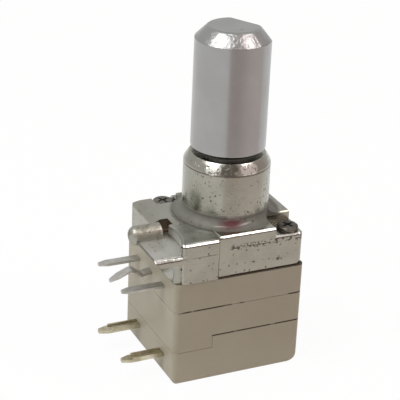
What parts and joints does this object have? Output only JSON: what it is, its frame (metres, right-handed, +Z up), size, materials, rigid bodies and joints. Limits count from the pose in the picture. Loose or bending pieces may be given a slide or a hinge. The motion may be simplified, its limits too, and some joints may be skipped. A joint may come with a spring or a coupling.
{
  "type": "rotary potentiometer with switch",
  "caption": "Small rotary potentiometer with an on/off switch: D-cut shaft in a die-cast bushing on stacked plastic wafers, side terminals and a locating peg.",
  "frame": {"origin": "shaft axis at the underside of the base wafer", "axes": "+Z up the shaft to its knob end; -X is the side the terminals and the peg leave from; -Y is the front face with the stepped joint"},
  "size_m": [0.0147, 0.01, 0.0278],
  "materials": {
    "shaft_steel": "satin turned, silver grey",
    "cast_zinc": "bright plated die casting with pits and scratches",
    "seal_rubber": "matt",
    "spring_bronze": "bright strip",
    "clip_steel": "bright",
    "black_screw": "black finish, semi-gloss",
    "tan_plastic": "moulded, tan beige, slight sheen",
    "phenolic": "matt board",
    "carbon_track": "matt printed film",
    "silver_track": "printed film",
    "tinned_blade": "tinned, dull",
    "gold_blade": "pale, lightly plated",
    "white_plastic": "moulded",
    "dark_plastic": "moulded"
  },
  "bodies": {
    "case": {"bushing_housing": "cast_zinc", "thrust_washer": "spring_bronze", "screw_rear_left": "black_screw", "screw_front_right": "black_screw", "pot_case": "tan_plastic", "resistor_board": "phenolic", "resistive_track": "carbon_track", "collector_ring": "silver_track", "pot_terminal_1": "tinned_blade", "pot_terminal_2": "tinned_blade", "pot_terminal_3": "tinned_blade", "switch_case": "tan_plastic", "detent_spring": "clip_steel", "switch_base": "tan_plastic", "switch_terminal_a": "gold_blade", "switch_terminal_b": "gold_blade"},
    "spindle": {"shaft": "shaft_steel", "o_ring": "seal_rubber", "retaining_ring": "clip_steel", "pot_rotor": "white_plastic", "wiper_brush": "spring_bronze", "switch_rotor": "dark_plastic", "switch_bridge": "spring_bronze"}
  },
  "joints": [
    {"name": "shaft_turn", "type": "hinge", "parent": "case", "child": "spindle", "pos_m": [0, 0, 0.015], "axis": [0, 0, 1], "range_deg": [-300, 0]}
  ]
}
